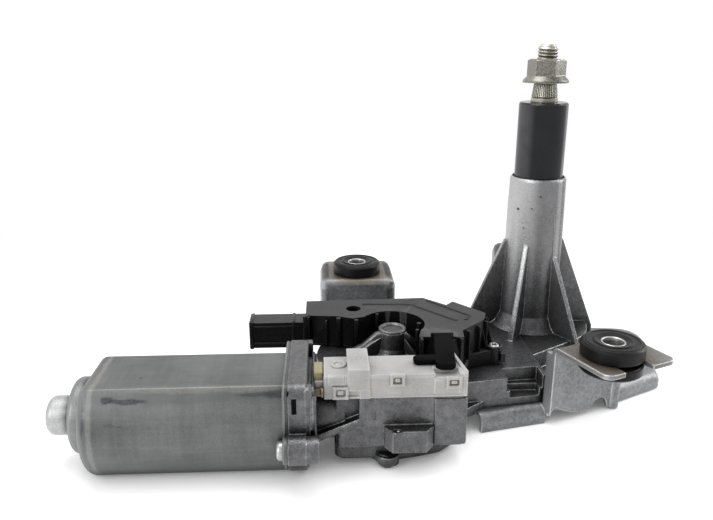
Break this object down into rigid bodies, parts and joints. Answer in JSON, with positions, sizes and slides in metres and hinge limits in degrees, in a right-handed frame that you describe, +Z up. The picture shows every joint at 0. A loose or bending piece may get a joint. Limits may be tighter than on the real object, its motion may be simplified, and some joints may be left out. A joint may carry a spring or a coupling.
{
  "type": "wiper motor",
  "caption": "Rear-window wiper motor: motor can, worm gear case with ribbed tower, sleeved spindle, control module and a steel bracket on rubber grommets.",
  "frame": {"origin": "on the spindle's axis, at the shoulder of the tower where the dark sleeve stands", "axes": "+Z up along the spindle towards its thread, +X along the motor from the can towards the gear case, +Y away from the motor towards the two rear ears"},
  "size_m": [0.2359, 0.1724, 0.1332],
  "materials": {
    "die_cast": "as cast, softly blasted",
    "can_steel": "drawn sheet, zinc plated, dulled",
    "screw_zinc": "zinc plated",
    "ferrite": "pressed ferrite",
    "sintered_bronze": "oiled sintered bronze",
    "ground_steel": "ground",
    "core_steel": "stacked sheet",
    "copper": "bare or lacquered copper",
    "inner_plastic": "moulded",
    "carbon": "pressed carbon",
    "spring_steel": "rolled",
    "wheel_plastic": "moulded, greased",
    "link_steel": "stamped, greased",
    "nut_steel": "zinc plated, dulled",
    "rubber_black": "moulded rubber",
    "sleeve_gloss": "glossy, dark",
    "galvanised": "galvanised sheet with a fine spangle",
    "module_black": "fine grained",
    "board": "lacquered",
    "cover_white": "translucent white, dusty",
    "plug_tan": "moulded"
  },
  "bodies": {
    "housing": {"gear_housing": "die_cast", "motor_yoke": "can_steel", "yoke_screws": "screw_zinc", "magnet_front": "ferrite", "magnet_rear": "ferrite", "end_bearing": "sintered_bronze", "front_bearing": "sintered_bronze", "brush_holder": "inner_plastic", "carbon_brushes": "carbon", "brush_springs": "spring_steel", "thrust_plug": "inner_plastic", "wheel_axle": "ground_steel", "retaining_ring": "spring_steel", "spindle_bush_lower": "sintered_bronze", "spindle_bush_upper": "sintered_bronze", "spindle_seal": "rubber_black", "spindle_sleeve": "sleeve_gloss", "thrust_washer": "spring_steel", "mounting_bracket": "galvanised", "bracket_screws": "screw_zinc", "grommet_front": "rubber_black", "grommet_rear_left": "rubber_black", "grommet_rear_right": "rubber_black", "spacer_front": "screw_zinc", "spacer_rear_left": "screw_zinc", "spacer_rear_right": "screw_zinc", "module_cover": "module_black", "module_base": "module_black", "module_screws": "screw_zinc", "park_contacts": "copper", "circuit_board": "board", "terminal_cover": "cover_white", "lead_plug": "plug_tan", "connector_shroud": "module_black", "connector_pins": "copper"},
    "armature": {"armature_shaft": "ground_steel", "armature_core": "core_steel", "armature_windings": "copper", "commutator": "copper"},
    "wheel": {"worm_wheel": "wheel_plastic", "crank_pin": "ground_steel", "contact_plate": "copper"},
    "spindle": {"output_spindle": "ground_steel", "drive_lever": "link_steel", "lever_pin": "ground_steel", "spindle_nut": "nut_steel"},
    "rod": {"connecting_rod": "link_steel"}
  },
  "joints": [
    {"name": "armature_spin", "type": "hinge", "parent": "housing", "child": "armature", "pos_m": [-0.0643, -0.0722, -0.0652], "axis": [1, 0, 0], "continuous": true},
    {"name": "wheel_spin", "type": "hinge", "parent": "housing", "child": "wheel", "pos_m": [-0.0643, -0.0442, -0.0652], "axis": [0, 0, 1], "continuous": true},
    {"name": "spindle_swing", "type": "hinge", "parent": "housing", "child": "spindle", "pos_m": [0, 0, 0], "axis": [0, 0, 1], "range_deg": [0, 109]},
    {"name": "rod_swing", "type": "hinge", "parent": "spindle", "child": "rod", "pos_m": [-0.00642, -0.01574, -0.0721], "axis": [0, 0, 1], "range_deg": [-107.5, 0]}
  ],
  "couplings": [
    {"joint": "wheel_spin", "follows": "armature_spin", "ratio": -0.026316},
    {"joint": "rod_swing", "follows": "spindle_swing", "ratio": -0.983}
  ]
}
